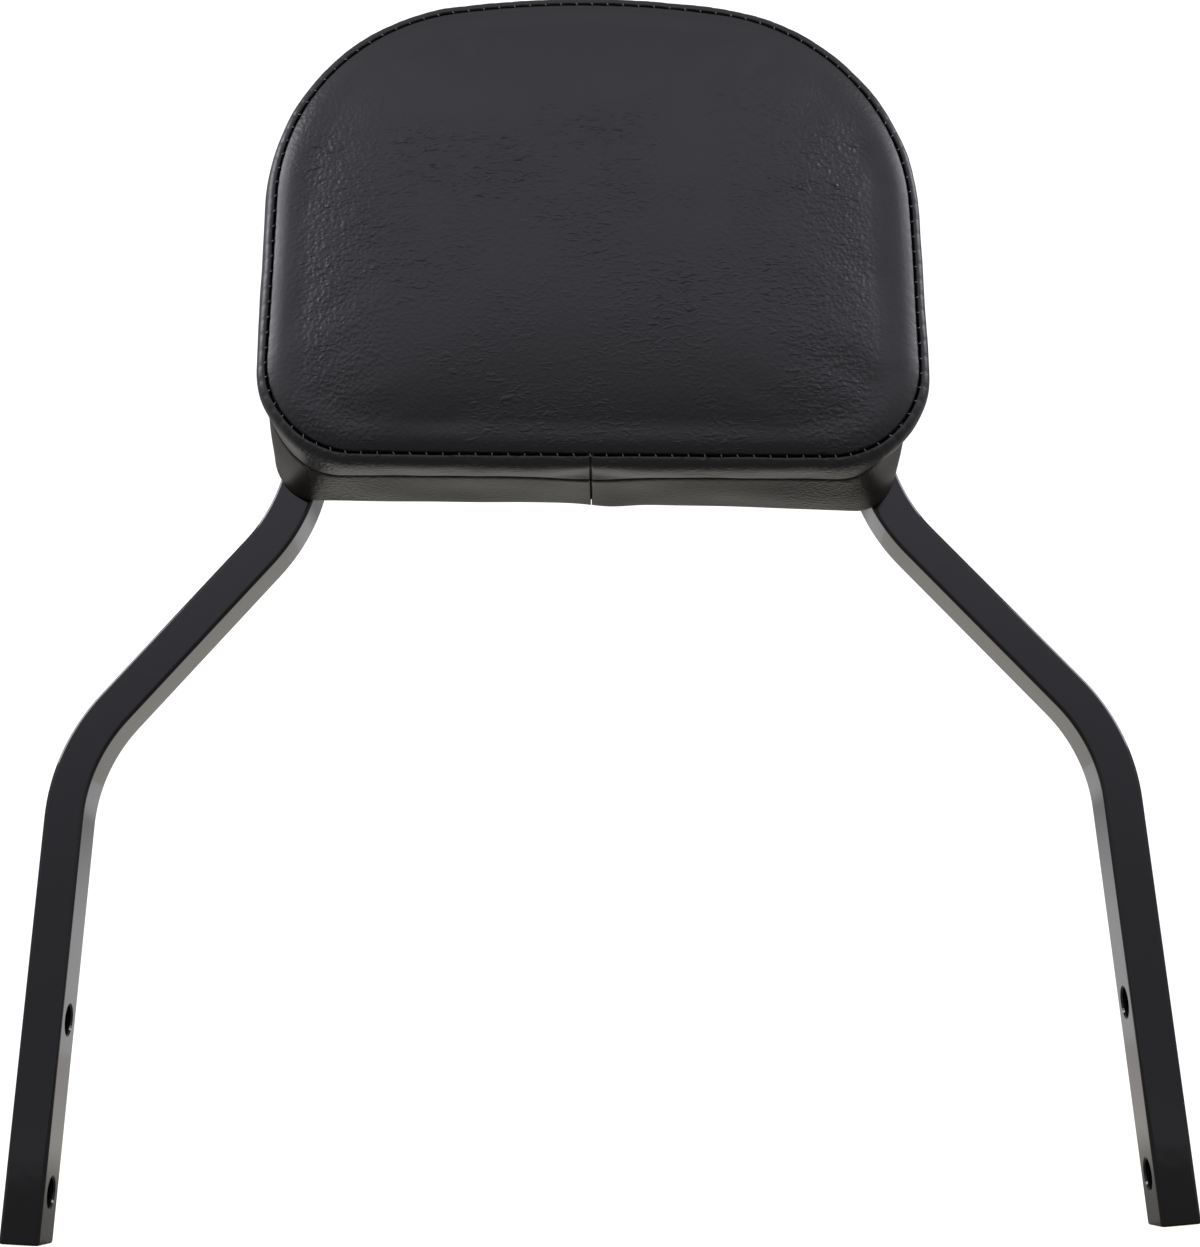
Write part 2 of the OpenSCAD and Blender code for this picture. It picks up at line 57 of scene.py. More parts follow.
bar_mid_y = (bar_front_y + bar_high.y) / 2
# The corners of the bar's centre line on the right half, across and up
foot = Vector((181.2, 0.38)) * MM
knee = Vector((170.41, 154.7)) * MM
shoulder = Vector((94.2, 239.0)) * MM
hoop_top = Vector((shoulder.x, bar_high.z - bar_w / 2))


def linear(hex_colour):
    """An sRGB hex colour as the linear red, green, blue and alpha of a socket."""
    shares = [int(hex_colour[i:i + 2], 16) / 255 for i in (1, 3, 5)]
    return [c / 12.92 if c <= 0.04045 else ((c + 0.055) / 1.055) ** 2.4 for c in shares] + [1.0]


def node(tree, kind, inputs=None, **settings):
    """Add a node with its settings. inputs gives its sockets a value or another's output."""
    made = tree.nodes.new(kind)
    for name, value in settings.items():
        setattr(made, name, value)
    for socket, value in (inputs or {}).items():
        if isinstance(value, bpy.types.NodeSocket):
            tree.links.new(value, made.inputs[socket])
        else:
            made.inputs[socket].default_value = value
    return made


def start_material(name, colour, roughness, **values):
    """A material with a plain shader, and the place of a point on the object in metres."""
    material = bpy.data.materials.new(name)
    material.use_nodes = True
    tree = material.node_tree
    shader = tree.nodes["Principled BSDF"]
    shader.inputs["Base Color"].default_value = linear(colour)
    shader.inputs["Roughness"].default_value = roughness
    for socket, value in values.items():
        shader.inputs[socket.replace("_", " ")].default_value = value
    place = node(tree, "ShaderNodeTexCoord").outputs["Object"]
    return material, tree, shader, place


def raise_surface(tree, shader, height, distance, strength=1.0, under=None):
    """Bump the shader by a height from 0 to 1 that stands for a distance in metres."""
    inputs = {"Height": height, "Distance": distance, "Strength": strength}
    if under is not None:
        inputs["Normal"] = under
    bump = node(tree, "ShaderNodeBump", inputs)
    tree.links.new(bump.outputs["Normal"], shader.inputs["Normal"])
    return bump.outputs["Normal"]


def object_from(name, bm):
    """A bmesh becomes a mesh object in the scene."""
    mesh = bpy.data.meshes.new(name)
    bm.to_mesh(mesh)
    bm.free()
    made = bpy.data.objects.new(name, mesh)
    bpy.context.scene.collection.objects.link(made)
    return made


def finish_piece(piece, material, nodes):
    """A mesh gets its material, rides on the bar and stands for its CAD nodes."""
    piece.data.shade_smooth()
    piece.data.materials.append(material)
    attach(piece, "root")
    if nodes:
        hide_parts(*nodes)


def make_piece(name, bm, material, slot, *nodes, sharp=180.0):
    """A closed bmesh becomes a piece, with edges turned by over sharp degrees kept crisp."""
    bmesh.ops.remove_doubles(bm, verts=bm.verts, dist=2e-6)
    bmesh.ops.recalc_face_normals(bm, faces=bm.faces)
    piece = object_from(name, bm)
    finish_piece(piece, material, nodes)
    piece.data.set_sharp_from_angle(angle=math.radians(sharp))
    return piece


def even_shading(piece):
    """Flat faces keep their own normals beside rounded edges."""
    piece.modifiers.new("even_shading", "WEIGHTED_NORMAL").keep_sharp = True


# Gloss black powder coat on steel: baked polyester, which flows out to a mirror with a
# faint orange peel a few millimetres across. The eye gets black with clear reflections.
# Its reflections are tinted faintly blue, a painted cool light.
powder_coat, tree, shader, place = start_material(
    "gloss_black_powder_coat", "#0a0a0b", 0.07, IOR=1.45, Specular_Tint=linear("#f1f1ff"),
)
peel = node(tree, "ShaderNodeTexNoise", {
    "Vector": place, "Scale": 1 / (4.5 * MM), "Detail": 1.0,
})
raise_surface(tree, shader, peel.outputs["Fac"], 0.012 * MM)


def direction(a, b):
    """The unit vector from a to b."""
    return (b - a).normalized()


def bend_at(a, b, c, radius):
    """Centre, turn and start of the arc that rounds corner b on the way from a to c."""
    first, second = direction(a, b), direction(b, c)
    turn = math.atan2(first.cross(second), first.dot(second))
    start = b - first * radius * math.tan(abs(turn) / 2)
    side = Vector((-first.y, first.x)) * math.copysign(1, turn)
    return start + side * radius, turn, start


def in_space(p):
    """A point of the bar's plane, across and up, in the shared frame."""
    return Vector((p.x, bar_mid_y, p.y))


def flipped(p):
    """The same point on the left half."""
    return Vector((-p.x, p.y))


right_half = [foot, knee, shoulder, hoop_top]
route = [flipped(p) for p in right_half] + right_half[::-1]

# A circle of four points is a square, which is turned, sized and rounded to the section
bm = bmesh.new()
bmesh.ops.create_circle(bm, cap_ends=True, segments=4, radius=math.sqrt(0.5))
up_leg = direction(route[0], route[1])
lean = math.atan2(up_leg.x, up_leg.y)
bmesh.ops.rotate(bm, verts=bm.verts, matrix=Matrix.Rotation(math.radians(45), 3, "Z"))
bmesh.ops.scale(bm, verts=bm.verts, vec=(bar_w, bar_d, 1))
bmesh.ops.bevel(
    bm, geom=bm.verts[:], affect="VERTICES", offset=bar_edge_r, offset_type="OFFSET",
    segments=6, profile=0.5, material=-1,
)
bmesh.ops.rotate(bm, verts=bm.verts, matrix=Matrix.Rotation(lean, 3, "Y"))
bmesh.ops.translate(bm, verts=bm.verts, vec=in_space(route[0]))


def with_edges(face):
    """What an extrusion takes, so that no wall is left inside where the face was."""
    return [face, *face.edges]


def end_face(bm, at):
    """The bar's open end, which lies at a point of its centre line."""
    return with_edges(min(bm.faces, key=lambda f: (f.calc_center_median() - at).length))


def run_straight(bm, start, end):
    """Draw the bar on from its open end to a point."""
    made = bmesh.ops.extrude_face_region(bm, geom=end_face(bm, in_space(start)))
    verts = [g for g in made["geom"] if isinstance(g, bmesh.types.BMVert)]
    bmesh.ops.translate(bm, verts=verts, vec=in_space(end) - in_space(start))


def run_bend(bm, start, centre, turn):
    """Bend the bar on round a centre. A quarter turn takes all the bend's steps."""
    bmesh.ops.spin(
        bm, geom=end_face(bm, in_space(start)), cent=in_space(centre), axis=(0, -1, 0),
        angle=turn, steps=max(6, round(abs(turn) / math.pi * 2 * bend_steps)), use_merge=False,
    )


at = route[0]
for i in range(1, len(route) - 1):
    centre, turn, start = bend_at(route[i - 1], route[i], route[i + 1], bend_r)
    run_straight(bm, at, start)
    run_bend(bm, start, centre, turn)
    at = route[i] + direction(route[i], route[i + 1]) * (route[i] - start).length
run_straight(bm, at, route[-1])
tips = [f for f in bm.faces if len(f.verts) > 4]
bmesh.ops.bevel(
    bm, geom=[e for f in tips for e in f.edges], affect="EDGES", offset=tip_edge_r,
    offset_type="OFFSET", segments=4, profile=0.5, material=-1,
)

# Tapped holes
# Each leg has two 3/8 inch coarse threads right through it, countersunk on both sides before coating.
# In the real part the thread's crests catch the light inside a dark hole; here the walls and the
# thread get a dull near-black coat that reflects almost nothing, painted shade for the dark hole.
hole_heights = (16 * MM, 70 * MM)
thread_r, crest_r, rim_r = 4.76 * MM, 3.99 * MM, 5.35 * MM
thread_pitch = 25.4 / 16 * MM
cutter_past = 1 * MM
both_sides = ((-1, "left"), (1, "right"))


def leg_frame(side):
    """From a leg's own frame, with +Z up the leg and +X outward, to the shared frame."""
    axes = Matrix.Rotation(-leg_splay, 4, "Y")
    mirror = Matrix.Scale(side, 4, (1, 0, 0))
    return mirror @ Matrix.Translation((foot.x, bar_mid_y, foot.y)) @ axes


def hole_place(side, height):
    """From a hole's own frame, with +Z along its axis, to the shared frame."""
    across = Matrix.Rotation(math.pi / 2, 4, "Y")
    return leg_frame(side) @ Matrix.Translation((0, 0, height)) @ across


def with_modifiers(worked):
    """An object's mesh as its modifiers leave it."""
    graph = bpy.context.evaluated_depsgraph_get()
    return bpy.data.meshes.new_from_object(worked.evaluated_get(graph))


# The cutter is a drill with a countersink at each end, standing past both faces
bare_depth = rim_r + cutter_past - thread_r
drill_steps = (
    (bare_depth, thread_r),
    (bar_w + 2 * cutter_past - 2 * bare_depth, thread_r),
    (bare_depth, rim_r + cutter_past),
)
cutter_bm = bmesh.new()
for side, side_name in both_sides:
    for height in hole_heights:
        bmesh.ops.create_circle(
            cutter_bm, cap_ends=True, segments=64, radius=rim_r + cutter_past,
        )
        lid = cutter_bm.faces[:][-1]
        verts = set(lid.verts)
        bmesh.ops.translate(cutter_bm, verts=list(verts), vec=(0, 0, -bar_w / 2 - cutter_past))
        for rise, radius in drill_steps:
            made = bmesh.ops.extrude_face_region(cutter_bm, geom=with_edges(lid))
            new = [g for g in made["geom"] if isinstance(g, bmesh.types.BMVert)]
            lid = next(g for g in made["geom"] if isinstance(g, bmesh.types.BMFace))
            bmesh.ops.translate(cutter_bm, verts=new, vec=(0, 0, rise))
            now = max(math.hypot(v.co.x, v.co.y) for v in new)
            bmesh.ops.scale(cutter_bm, verts=new, vec=(radius / now, radius / now, 1))
            verts.update(new)
        bmesh.ops.transform(cutter_bm, verts=list(verts), matrix=hole_place(side, height))
bmesh.ops.recalc_face_normals(cutter_bm, faces=cutter_bm.faces)
cutter = object_from("hole_cutter", cutter_bm)

bmesh.ops.recalc_face_normals(bm, faces=bm.faces)
blank = object_from("bar_blank", bm)
drill = blank.modifiers.new("drill", "BOOLEAN")
drill.operation, drill.solver, drill.object = "DIFFERENCE", "EXACT", cutter
bm = bmesh.new()
bm.from_mesh(with_modifiers(blank))
for used in (blank, cutter):
    bpy.data.objects.remove(used)
bar = make_piece("hoop", bm, powder_coat, "bar", "hoop_bar", sharp=25)
even_shading(bar)

# In the holes the coat is thin, since the gun can't reach, and stays dull. It is also painted near
# black and reflects almost nothing, as painted shade for the dark inside of the holes. The eye gets a
# black hole with a faint satin.
overspray_and_painted_shade, tree, shader, place = start_material(
    "dull_spray_coat_and_painted_shade", "#040404", 0.8, Specular_IOR_Level=0.03,
)
dust = node(tree, "ShaderNodeTexNoise", {
    "Vector": place, "Scale": 1 / (0.5 * MM), "Detail": 2.0,
})
raise_surface(tree, shader, dust.outputs["Fac"], 0.02 * MM)
bar.data.materials.append(overspray_and_painted_shade)
shiny_rim = 0.35 * MM
# Faces inside each hole, short of the shiny rim, take the dull coat with its painted shade
for side, side_name in both_sides:
    to_leg = leg_frame(side).inverted()
    for face in bar.data.polygons:
        p = to_leg @ face.center
        inside = abs(p.x) < bar_w / 2 - shiny_rim
        if inside and min(math.hypot(p.y, p.z - height) for height in hole_heights) < rim_r:
            face.material_index = 1

# The thread's ridge: how far from the axis and how far along it each corner lies. The
# thread stops 0.6 of a turn short at each end.
ridge_root_r = thread_r + 0.05 * MM
ridge = (
    (ridge_root_r, -0.72 * MM), (crest_r, -0.12 * MM), (crest_r, 0.12 * MM), (ridge_root_r, 0.72 * MM),
)
thread_turns, steps_a_turn = int(bar_w / thread_pitch) - 1.2, 30
thread_start = 0.1 * MM - thread_turns / 2 * thread_pitch
for side, side_name in both_sides:
    for height, level in zip(hole_heights, ("lower", "upper")):
        bm = bmesh.new()
        bmesh.ops.create_circle(bm, cap_ends=True, segments=4, radius=1)
        corners = sorted(bm.verts, key=lambda v: math.atan2(v.co.y, v.co.x))
        for v, (radius, along) in zip(corners, ridge):
            v.co = Vector((radius, 0, thread_start + along))
        bmesh.ops.spin(
            bm, geom=bm.faces[:], cent=(0, 0, 0), axis=(0, 0, 1),
            dvec=(0, 0, thread_pitch / steps_a_turn), angle=thread_turns * math.tau,
            steps=round(thread_turns * steps_a_turn), use_merge=False,
        )
        bmesh.ops.transform(bm, verts=bm.verts, matrix=hole_place(side, height))
        # The thread takes the same dull coat with its painted shade
        make_piece(f"thread_{side_name}_{level}", bm, overspray_and_painted_shade, "bar", sharp=30)

# Pad plate
# A laser cut steel plate between the uprights, flush with the bar's front, drilled for
# four bolts, fillet welded from behind and coated with the bar.
least_corner = math.radians(28)


def softened_copy(name, source, material, slot, edge, segments=2, sharp=30.0, move=None):
    """A CAD piece with its corners broken by a small radius, which stands for it. move
    gives each of its points a new place first."""
    bm = bmesh.new()
    bm.from_mesh(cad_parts[source].data)
    bmesh.ops.remove_doubles(bm, verts=bm.verts, dist=2e-6)
    bmesh.ops.dissolve_limit(bm, angle_limit=math.radians(1), verts=bm.verts, edges=bm.edges)
    if move:
        for v in bm.verts:
            v.co = move(v.co)
    corners = [
        e for e in bm.edges
        if len(e.link_faces) == 2 and e.calc_face_angle() > least_corner
    ]
    bmesh.ops.bevel(
        bm, geom=corners, affect="EDGES", offset=edge, offset_type="OFFSET",
        segments=segments, profile=0.5, material=-1, clamp_overlap=True,
    )
    piece = make_piece(name, bm, material, slot, source, sharp=sharp)
    even_shading(piece)
    return piece


softened_copy("plate", "pad_plate", powder_coat, "bar", 0.4 * MM)

# Weld beads
# Two fillet welds run down the back of the plate's ends. Each is a row of overlapping
# ripples, one for each step of the torch, and is coated with the rest.
weld_leg, ripple, weld_steps = 3.5 * MM, 2.6 * MM, 64
weld_sink, weld_tail = 0.2 * MM, 2.5 * MM
plate_low, plate_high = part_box("pad_plate")
weld_length = plate_high.z - plate_low.z
for side, side_name in both_sides:
    bm = bmesh.new()
    bmesh.ops.create_circle(bm, cap_ends=True, segments=12, radius=weld_leg)
    for v in bm.verts:
        v.co.x = max(v.co.x, -weld_sink)
        v.co.y = max(v.co.y, -weld_sink)
    for _ in range(weld_steps):
        lid = max(bm.faces, key=lambda f: f.calc_center_median().z)
        made = bmesh.ops.extrude_face_region(bm, geom=with_edges(lid))
        new = [g for g in made["geom"] if isinstance(g, bmesh.types.BMVert)]
        bmesh.ops.translate(bm, verts=new, vec=(0, 0, weld_length / weld_steps))
    for v in bm.verts:
        reach = math.hypot(max(v.co.x, 0), max(v.co.y, 0)) / weld_leg
        phase = (v.co.z / ripple + 0.25 * reach) % 1.0
        from_end = min(1, max(0, min(v.co.z, weld_length - v.co.z) / weld_tail))
        swell = (0.86 + 0.16 * math.sqrt(1 - phase)) * (0.6 + 0.4 * from_end ** 0.5)
        v.co.x *= swell if v.co.x > 0 else 1
        v.co.y *= swell if v.co.y > 0 else 1
    corner = Matrix.Translation((side * plate_high.x, plate_high.y, plate_low.z))
    bmesh.ops.transform(bm, verts=bm.verts, matrix=corner @ Matrix.Scale(-side, 4, (1, 0, 0)))
    make_piece(f"weld_bead_{side_name}", bm, powder_coat, "bar", f"plate_weld_{side_name}", sharp=50)

# Base board
# Nine millimetre birch plywood cut to the pad's outline, drilled for four tee nuts. The
# cover is stapled to its back, so almost none of it shows.

# Birch plywood: pale rotary cut veneer with long soft grain and thin darker glue lines
# at the edges. The eye gets warm straw with fine streaks.
plywood, tree, shader, place = start_material("birch_plywood", "#c9a671", 0.62)
stretched = node(tree, "ShaderNodeMapping", {"Vector": place, "Scale": (1.0, 1.0, 0.06)})
grain = node(tree, "ShaderNodeTexNoise", {
    "Vector": stretched.outputs[0], "Scale": 1 / (1.6 * MM), "Detail": 4.0,
})
streaks = node(tree, "ShaderNodeMix", {
    "Factor": grain.outputs["Fac"], 6: linear("#b98f58"), 7: linear("#dcbf8f"),
}, data_type="RGBA")
tree.links.new(streaks.outputs[2], shader.inputs["Base Color"])
raise_surface(tree, shader, grain.outputs["Fac"], 0.04 * MM)
softened_copy("board", "base_board", plywood, "board", 0.2 * MM, segments=1)

# Tee nuts
# Four pressed steel tee nuts, bright zinc plated, driven into the board from the front
# so that their prongs bite and their flanges hide under the foam.

# Bright zinc plate on pressed steel: a metal with a faint grey grain from the press.
# The eye gets soft silver highlights.
zinc, tree, shader, place = start_material("bright_zinc_plate", "#b9bab6", 0.32, Metallic=1.0)
press = node(tree, "ShaderNodeTexNoise", {
    "Vector": place, "Scale": 1 / (0.9 * MM), "Detail": 2.0,
})
raise_surface(tree, shader, press.outputs["Fac"], 0.01 * MM)
for i in range(1, 5):
    softened_copy(f"tee_nut_pressing_{i}", f"tee_nut_{i}", zinc, "tee_nut", 0.15 * MM, segments=1)

# Foam
# One moulded block of open-cell foam, crowned in front and rebated behind to wrap the
# board's edge. It is glued to the board, and the whole cover is pulled over it.
pad_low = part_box("boxing_strip")[0]
pad_base_w, side_lean = 213.8, math.radians(1.9)
pad_z = pad_low.z / MM
pad_h, arch_r, shoulder_r = 158.1, 296.0, 70.6
base_front_r, base_rear_r = 31.8, 15.0
boxing_depth, band_depth, crown = 32.0, 18.5, 11.0
cover_rear_y = bar_front_y / MM
front_seam_y = -boxing_depth - band_depth
board_t, vinyl_t = 9.0, 1.1
# The cover was pulled on a little askew: turned, its front moved over, its right side low
cover_turn, cover_shift, cover_droop = math.radians(0.37), 1.9, 0.019
askew = Matrix.Identity(4)
askew[2][0] = -cover_droop
cover_place = (
    Matrix.Translation((0, cover_rear_y * MM, pad_low.z))
    @ Matrix.Rotation(cover_turn, 4, "Y")
    @ askew
    @ Matrix.Translation((0, 0, -pad_low.z))
    @ Matrix.Scale(MM, 4)
)
# Each lower corner of the cover: side, place across, height over the pad's foot, then how
# far it is pulled in at the band's rear seam and at the board, and how far behind the
# front seam the pull is full
tucked_corners = ((1, 100.0, 10.0, 6.0, 4.0, 16.0), (-1, 101.0, 13.0, 2.5, 1.6, 10.0))
tuck_spread, tuck_lift = 20, 0.1
# The rear of the cover also hangs a little lower towards the right, up to a height
rear_hang, hang_height = 0.02, 30


def smooth_step(value, low, high):
    """From 0 at low to 1 at high, level at both ends."""
    t = min(1.0, max(0.0, (value - low) / (high - low)))
    return t * t * (3 - 2 * t)


def front_share(y):
    """From 0 at the board to 1 at the front seam, for a depth in mm."""
    return min(1.0, max(0.0, y / front_seam_y))


def placed(p):
    """A point of the straight cover in mm as it really sits, in the shared frame."""
    rear = smooth_step(p.y, -boxing_depth, -10)
    x, z = p.x, p.z
    for side, across, height, at_seam, at_board, full_behind in tucked_corners:
        away = math.hypot(p.x - side * across, p.z - pad_z - height) / tuck_spread
        pull = (at_seam + (at_board - at_seam) * rear) * math.exp(-away * away)
        pull *= smooth_step(p.y, front_seam_y + full_behind / 8, front_seam_y + full_behind)
        x -= side * pull
        z -= tuck_lift * pull
    low = math.exp(-(((p.z - pad_z) / hang_height) ** 2))
    z -= rear_hang * max(0.0, p.x) * rear * low
    x += cover_shift * front_share(p.y)
    return cover_place @ Vector((x, p.y, z))


arch_centre = Vector((0, pad_z + pad_h - arch_r))
up_side = Vector((-math.sin(side_lean), math.cos(side_lean)))
inward = Vector((-math.cos(side_lean), -math.sin(side_lean)))
w = Vector((pad_base_w / 2, pad_z)) + shoulder_r * inward - arch_centre
reach = arch_r - shoulder_r
shoulder_centre = arch_centre + w + up_side * (
    math.sqrt(w.dot(up_side) ** 2 - w.dot(w) + reach ** 2) - w.dot(up_side)
)
arch_half = math.atan2(shoulder_centre.x, shoulder_centre.y - arch_centre.y)
pad_middle = Vector((0, pad_z + pad_h / 2))


def half_outline(corner_r):
    """The right half of the pad's outline from the bottom's middle to the arch's top, as
    straight runs and arcs: (length, start or centre, direction or first angle, radius)."""
    corner_in = corner_r * (1 + math.sin(side_lean)) / math.cos(side_lean)
    base = Vector((pad_base_w / 2 - corner_in, pad_z + corner_r))
    quarter = math.pi / 2
    side_start = base - corner_r * inward
    side_end = shoulder_centre - shoulder_r * inward
    return [
        (base.x, Vector((0, pad_z)), Vector((1, 0)), None),
        (corner_r * (quarter + side_lean), base, -quarter, corner_r),
        ((side_end - side_start).length, side_start, up_side, None),
        (shoulder_r * (quarter - arch_half - side_lean), shoulder_centre, side_lean, shoulder_r),
        (arch_r * arch_half, arch_centre, quarter - arch_half, arch_r),
    ]


outlines = {}


def around(share, inset=0.0, corner_r=base_rear_r):
    """A point of the pad's outline, moved in by inset, at a share of the way round from
    the bottom's middle, counter-clockwise from the front."""
    key = round(corner_r, 2)
    if key not in outlines:
        outlines[key] = half_outline(key)
    parts = outlines[key]
    total = sum(part[0] for part in parts)
    share = share % 1.0
    left = share > 0.5
    s = (1 - share if left else share) * 2 * total
    for length, origin, course, radius in parts[:-1]:
        if s <= length:
            break
        s -= length
    else:
        length, origin, course, radius = parts[-1]
    if radius is None:
        point, outward = origin + course * s, Vector((course.y, -course.x))
    else:
        angle = course + s / radius
        outward = Vector((math.cos(angle), math.sin(angle)))
        point = origin + outward * radius
    point = point - outward * inset
    return Vector((-point.x if left else point.x, point.y))


def corner_r_at(y):
    """The radius of the lower corners, which grows from the board to the front seam."""
    return base_rear_r + (base_front_r - base_rear_r) * front_share(y)


def drawn(share, inset, corner_r, pull):
    """A point of the outline drawn together towards the pad's middle by pull."""
    return pad_middle + (1 - pull) * (around(share, inset, corner_r) - pad_middle)


def crown_rise(pull):
    """How far in mm the crowned front stands before its seam."""
    return crown * (1 - (1 - pull) ** 3) ** 0.62


def loft(bm, rings, count):
    """Extrude a ring of vertices through rings, each a function of the share round it."""
    bmesh.ops.create_circle(bm, segments=count, radius=1)
    tags = bm.verts.layers.int.new("turn")
    first = sorted(bm.verts, key=lambda v: math.atan2(v.co.y, v.co.x) % math.tau)
    for k, v in enumerate(first):
        v[tags] = k
        v.co = rings[0](k / count)
    edges = bm.edges[:]
    bmesh.ops.contextual_create(bm, geom=edges)
    for place_ring in rings[1:]:
        made = bmesh.ops.extrude_edge_only(bm, edges=edges)["geom"]
        edges = [g for g in made if isinstance(g, bmesh.types.BMEdge)]
        for v in (g for g in made if isinstance(g, bmesh.types.BMVert)):
            v.co = place_ring(v[tags] / count)
    return edges


def ring(inset, y, corner_r=None, pull=0.0):
    """A ring of the pad at a depth y from the bar's face, as loft wants it."""
    r = corner_r_at(y) if corner_r is None else corner_r

    def place_point(share):
        p = drawn(share, inset, r, pull)
        return Vector((p.x, y, p.y))
    return place_point


# How far inside the outline the foam and the sewn front lie, and how deep the foam's rear
# lip wraps over the board's edge
foam_in, panel_inset, foam_lip = vinyl_t + 0.35, 2.85, vinyl_t + 4
crown_pulls = [(k / 14) ** 1.7 for k in range(14)]


def crown_rings(inset, skin):
    """Rings of the crowned front from its seam to its middle, moved back by a skin."""
    return [
        ring(inset, front_seam_y - crown_rise(pull) + skin, base_front_r, pull)
        for pull in crown_pulls
    ]


bm = bmesh.new()
rebate_y, rear_y = -vinyl_t - board_t - 0.3, -vinyl_t - 0.2
edges = loft(bm, [
    ring(foam_lip, rebate_y, base_rear_r),
    ring(foam_lip, rear_y, base_rear_r),
    ring(foam_in, rear_y, base_rear_r),
    *[ring(foam_in + 0.3, y) for y in (-8, -16, -24, -31, -36, -42)],
    ring(foam_in + 1.5, front_seam_y + 4),
    ring(panel_inset + foam_in + 0.6, front_seam_y + 3.6, base_front_r),
    *crown_rings(panel_inset + foam_in, foam_in),
], 120)
bmesh.ops.contextual_create(bm, geom=edges)
for v in bm.verts:
    v.co = placed(v.co)

# Open-cell polyurethane foam: a fine sponge of cells under a millimetre across. The eye
# gets a matt grey that swallows light in tiny pits.
foam_finish, tree, shader, place = start_material("open_cell_foam", "#8d8f93", 0.95)
cells = node(tree, "ShaderNodeTexVoronoi", {"Vector": place, "Scale": 1 / (0.8 * MM)})
raise_surface(tree, shader, cells.outputs["Distance"], 0.5 * MM)
foam = make_piece("foam_block", bm, foam_finish, "foam", "foam_core", sharp=40)

# Cushion swell
# The cover's front is sewn a little slack and pulled tight over the foam, so it stands
# as a full cushion. Its swell is found by inflating a cloth copy held at the seam.
swell_cap, voxel, frames = 3.0 * MM, 4 * MM, 20


def inflated_front():
    """A tree of the simulated front, in the shared frame."""
    bm = bmesh.new()
    edges = loft(bm, [
        ring(panel_inset, front_seam_y + 8, base_front_r),
        ring(panel_inset, front_seam_y + 3, base_front_r),
        *crown_rings(panel_inset, 0.6),
    ], 120)
    bmesh.ops.contextual_create(bm, geom=edges)
    for v in bm.verts:
        v.co = placed(v.co)
    bmesh.ops.recalc_face_normals(bm, faces=bm.faces)
    cushion = object_from("swell", bm)
    remesh = cushion.modifiers.new("remesh", "REMESH")
    remesh.mode, remesh.voxel_size = "VOXEL", voxel
    shaped = with_modifiers(cushion)
    cushion.modifiers.clear()
    cushion.data = shaped
    seam_plane = (cover_rear_y + front_seam_y - 0.8) * MM
    held = cushion.vertex_groups.new(name="held")
    held.add([v.index for v in shaped.vertices if v.co.y > seam_plane], 1.0, "REPLACE")
    rest = [v.co.copy() for v in shaped.vertices]
    cloth = cushion.modifiers.new("cloth", "CLOTH")
    cloth.settings.vertex_group_mass = "held"
    cloth.settings.quality = 6
    cloth.settings.mass = 0.4
    cloth.settings.tension_stiffness = cloth.settings.compression_stiffness = 12
    cloth.settings.bending_stiffness = 0.4
    cloth.settings.use_pressure = True
    cloth.settings.uniform_pressure_force = 4
    cloth.settings.effector_weights.gravity = 0
    for number in range(1, frames + 1):
        bpy.context.scene.frame_set(number)
    settled = with_modifiers(cushion)
    cushion.modifiers.clear()
    cushion.data = settled
    bpy.context.scene.frame_set(1)
    for v, co in zip(settled.vertices, rest):
        move = v.co - co
        v.co = co + move * min(1.0, swell_cap / max(move.length, 1e-9))
    bm = bmesh.new()
    bm.from_mesh(cushion.data)
    bmesh.ops.smooth_vert(
        bm, verts=bm.verts, factor=0.5, use_axis_x=True, use_axis_y=True, use_axis_z=True,
    )
    found = BVHTree.FromBMesh(bm)
    bm.free()
    bpy.data.objects.remove(cushion)
    return found


swell = inflated_front()

# Front panel
# The padded front is one piece of grained black vinyl, sewn to the band all round. It
# rolls over the foam's crown and dives into the seam, where each stitch dimples it.
stitches = 126
# Squares of the grid that the panel starts as, and how far in mm a pull of 1 moves its edge
panel_across, panel_up, full_pull = 190, 148, 90


def square_to_share(u, v):
    """The share round the outline, and how far out, of a point of the square grid."""
    rho = max(abs(u), abs(v))
    if rho < 1e-9:
        return 0.0, 0.0
    across = panel_across / (panel_across + panel_up)
    a, b = u / rho, v / rho
    if abs(v) >= abs(u) and v < 0:
        share = a * across / 4
    elif abs(u) >= abs(v) and u > 0:
        share = across / 4 + (b + 1) / 2 * (1 - across) / 2
    elif abs(v) >= abs(u):
        share = across / 4 + (1 - across) / 2 + (1 - a) / 2 * across / 2
    else:
        share = 1 - across / 4 - (b + 1) / 2 * (1 - across) / 2
    return share, rho


def seam_wander(share):
    """How far in mm the front seam strays inwards. It runs low along the bottom, and wide
    on the right."""
    from_bottom = min(share % 1.0, 1 - share % 1.0)
    low = 1.0 * math.exp(-((from_bottom / 0.18) ** 4))
    return 0.5 - 1.2 * math.exp(-(((share - 0.27) / 0.06) ** 2)) - low


def stitch_wave(share):
    """From 0 between two stitches to 1 at the middle of a stitch."""
    return 0.5 + 0.5 * math.cos(share * stitches * math.tau)


